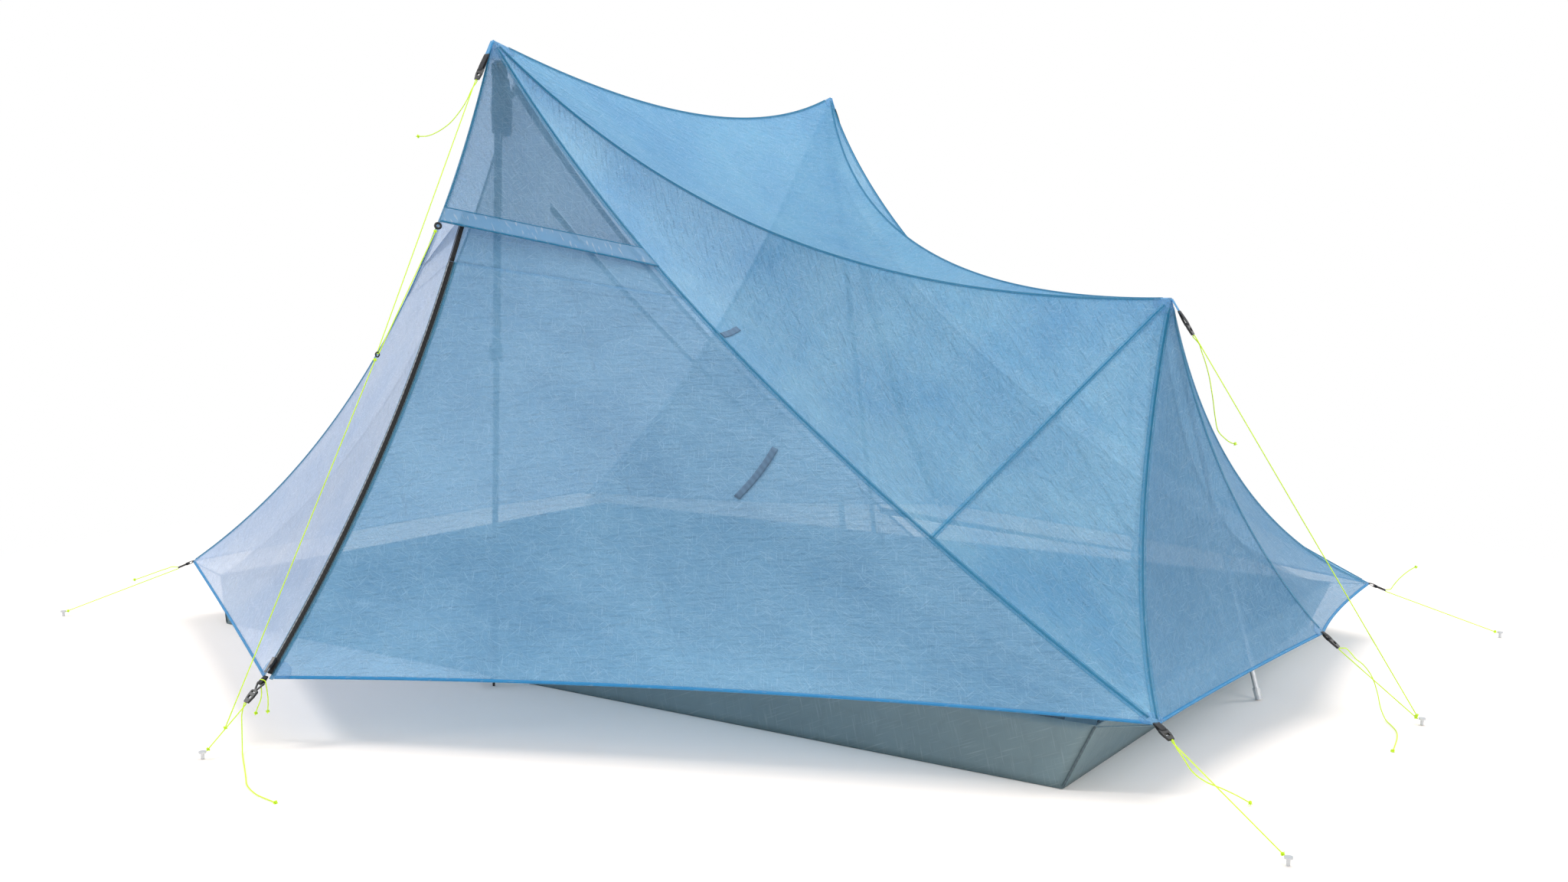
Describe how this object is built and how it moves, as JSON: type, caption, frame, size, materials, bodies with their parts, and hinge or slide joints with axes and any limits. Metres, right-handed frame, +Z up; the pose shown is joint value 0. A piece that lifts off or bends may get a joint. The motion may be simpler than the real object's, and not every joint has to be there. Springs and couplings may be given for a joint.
{
  "type": "trekking pole tent",
  "caption": "Trekking pole tent with a translucent blue canopy, zipped vestibules, mesh inner walls, bathtub floor, telescoping poles, stakes and guylines.",
  "frame": {"origin": "on the ground, under the middle of the bathtub floor", "axes": "+X to the low foot end, +Z up, -Y to the long side that the picture shows"},
  "size_m": [2.873, 2.6935, 1.27],
  "materials": {
    "canopy": "translucent crinkled laminate with fine fibres, satin",
    "seam_tape": "saturated blue bonded seams and stiffened corners",
    "floor": "grey-blue coated floor cloth, crinkled, matt",
    "mesh": "fine dark insect mesh",
    "zip_tape": "black woven zip tape with a moulded coil",
    "cord": "neon braided cord",
    "stake": "brushed grey",
    "pole_shaft": "dark satin shaft",
    "grip_foam": "matt black foam",
    "black_plastic": "moulded black"
  },
  "bodies": {
    "root": {"apex_stake": "stake", "bathtub_floor": "floor", "canopy_seams": "seam_tape", "centre_stake": "stake", "far_corner_guyline": "cord", "far_corner_stake": "stake", "far_foot_panel": "canopy", "far_foot_tensioner": "black_plastic", "far_lock_clamp": "black_plastic", "far_mesh_wall": "mesh", "far_pole_grip": "grip_foam", "far_pole_upper_tube": "pole_shaft", "far_side_wall": "canopy", "far_vent_hood": "canopy", "foot_centre_guyline": "cord", "foot_centre_tensioner": "black_plastic", "foot_mesh_wall": "mesh", "foot_peak_tensioner": "black_plastic", "foot_pole": "pole_shaft", "guy_ring": "black_plastic", "head_guyline": "cord", "head_panel": "canopy", "head_stake": "stake", "near_apex_guyline": "cord", "near_apex_ring": "black_plastic", "near_apex_tensioner": "black_plastic", "near_corner_guyline": "cord", "near_corner_stake": "stake", "near_foot_panel": "canopy", "near_foot_tensioner": "black_plastic", "near_head_tensioner": "black_plastic", "near_hood_ring": "black_plastic", "near_lock_clamp": "black_plastic", "near_mesh_wall": "mesh", "near_peak_guyline": "cord", "near_peak_tensioner": "black_plastic", "near_pole_grip": "grip_foam", "near_pole_upper_tube": "pole_shaft", "near_side_wall": "canopy", "near_vent_hood": "canopy", "roof_panel": "canopy"},
    "near_foot_door": {"near_foot_door": "canopy", "near_foot_zip": "zip_tape", "zip_pull_cord": "cord"},
    "near_head_door": {"near_head_door": "canopy", "near_head_zip": "zip_tape"},
    "near_zip_slider": {"near_zip_slider": "black_plastic"},
    "near_mesh_door": {"near_mesh_door": "mesh"},
    "near_lock_lever": {"near_lock_lever": "black_plastic"},
    "near_pole_lower": {"near_pole_lower_tube": "pole_shaft", "near_pole_tip": "black_plastic"},
    "far_foot_door": {"far_foot_door": "canopy", "far_foot_zip": "zip_tape"},
    "far_head_door": {"far_head_door": "canopy", "far_head_zip": "zip_tape"},
    "far_zip_slider": {"far_zip_slider": "black_plastic"},
    "far_mesh_door": {"far_mesh_door": "mesh"},
    "far_lock_lever": {"far_lock_lever": "black_plastic"},
    "far_pole_lower": {"far_pole_lower_tube": "pole_shaft", "far_pole_tip": "black_plastic"}
  },
  "joints": [
    {"name": "near_foot_door_hinge", "type": "hinge", "parent": "root", "child": "near_foot_door", "pos_m": [1.0878, -0.70063, 0.12265], "axis": [-0.83, 0.082, 0.5517], "range_deg": [0, 110]},
    {"name": "near_head_door_hinge", "type": "hinge", "parent": "root", "child": "near_head_door", "pos_m": [-1.08216, -0.74178, 0.13001], "axis": [-0.6944, -0.1051, -0.7118], "range_deg": [0, 110]},
    {"name": "near_zip_slide", "type": "hinge", "parent": "near_foot_door", "child": "near_zip_slider", "pos_m": [-0.216, -3.46869, 2.04107], "axis": [1, 0, 0], "range_deg": [0, 14.5]},
    {"name": "near_mesh_hinge", "type": "hinge", "parent": "root", "child": "near_mesh_door", "pos_m": [-0.098, -0.69, 0.1108], "axis": [-0.0628, 0.1478, 0.987], "range_deg": [0, 45]},
    {"name": "near_lever_hinge", "type": "hinge", "parent": "root", "child": "near_lock_lever", "pos_m": [-0.20273, -0.68947, 0.65385], "axis": [0.0693, -0.1071, -0.9918], "range_deg": [0, 110]},
    {"name": "near_pole_slide", "type": "slide", "parent": "root", "child": "near_pole_lower", "axis": [-0.0693, 0.1071, 0.9918], "range_m": [0, 0.25]},
    {"name": "far_foot_door_hinge", "type": "hinge", "parent": "root", "child": "far_foot_door", "pos_m": [1.0878, 0.70063, 0.12265], "axis": [0.83, 0.082, -0.5517], "range_deg": [0, 110]},
    {"name": "far_head_door_hinge", "type": "hinge", "parent": "root", "child": "far_head_door", "pos_m": [-1.08216, 0.74178, 0.13001], "axis": [0.6944, -0.1051, 0.7118], "range_deg": [0, 110]},
    {"name": "far_zip_slide", "type": "hinge", "parent": "far_foot_door", "child": "far_zip_slider", "pos_m": [-0.216, 3.46869, 2.04107], "axis": [-1, 0, 0], "range_deg": [0, 14.5]},
    {"name": "far_mesh_hinge", "type": "hinge", "parent": "root", "child": "far_mesh_door", "pos_m": [-0.098, 0.69, 0.1108], "axis": [0.0628, 0.1478, -0.987], "range_deg": [0, 45]},
    {"name": "far_lever_hinge", "type": "hinge", "parent": "root", "child": "far_lock_lever", "pos_m": [-0.20273, 0.68947, 0.65385], "axis": [-0.0693, -0.1071, 0.9918], "range_deg": [0, 110]},
    {"name": "far_pole_slide", "type": "slide", "parent": "root", "child": "far_pole_lower", "axis": [-0.0693, -0.1071, 0.9918], "range_m": [0, 0.25]}
  ]
}
